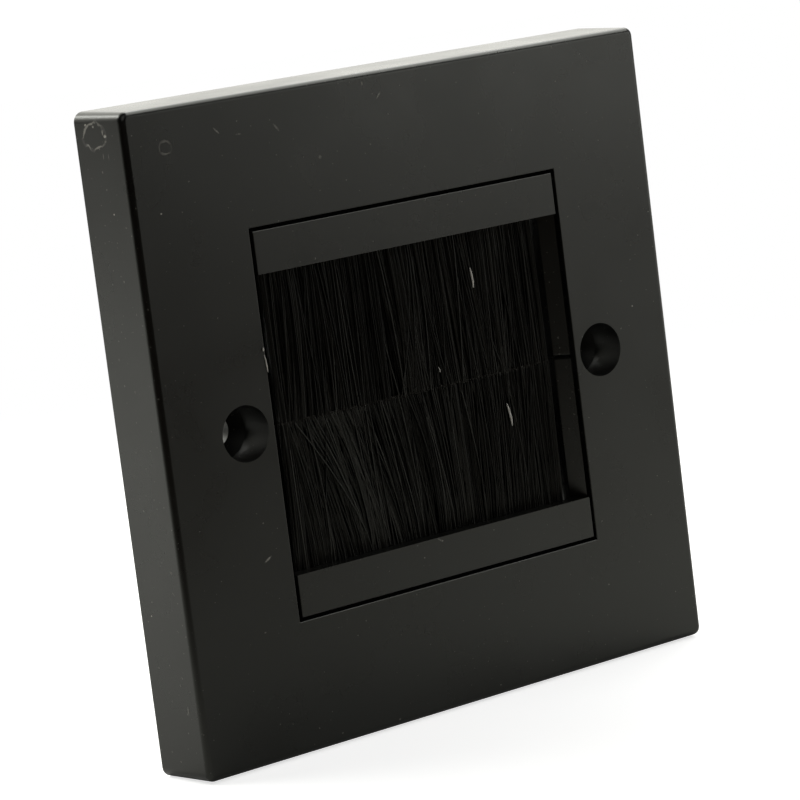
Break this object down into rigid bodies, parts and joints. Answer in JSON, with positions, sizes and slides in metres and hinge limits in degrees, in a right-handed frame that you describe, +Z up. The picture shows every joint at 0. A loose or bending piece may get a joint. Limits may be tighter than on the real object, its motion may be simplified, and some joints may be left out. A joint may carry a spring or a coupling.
{
  "type": "brush wall plate",
  "caption": "Square black moulded wall plate whose opening is closed by soft bristles, so that cables pass through it; fixed by screws at its left and right.",
  "frame": {"origin": "centre of the plate in the plane of its back rim, where it meets the wall", "axes": "+X to the right as seen from the room, +Y into the wall, +Z up; the front faces -Y"},
  "size_m": [0.086, 0.01, 0.086],
  "materials": {
    "plate_plastic": "moulded black ABS, satin gloss",
    "module_plastic": "moulded black ABS, satin gloss",
    "channel_steel": "galvanised folded strip",
    "wire_steel": "drawn galvanised wire",
    "bristle_nylon": "drawn black nylon filament"
  },
  "bodies": {
    "root": {"faceplate": "plate_plastic", "upper_module_body": "module_plastic", "lower_module_body": "module_plastic", "upper_strip_channel": "channel_steel", "lower_strip_channel": "channel_steel", "upper_core_wire": "wire_steel", "lower_core_wire": "wire_steel", "upper_bristles": "bristle_nylon", "lower_bristles": "bristle_nylon"}
  },
  "joints": []
}
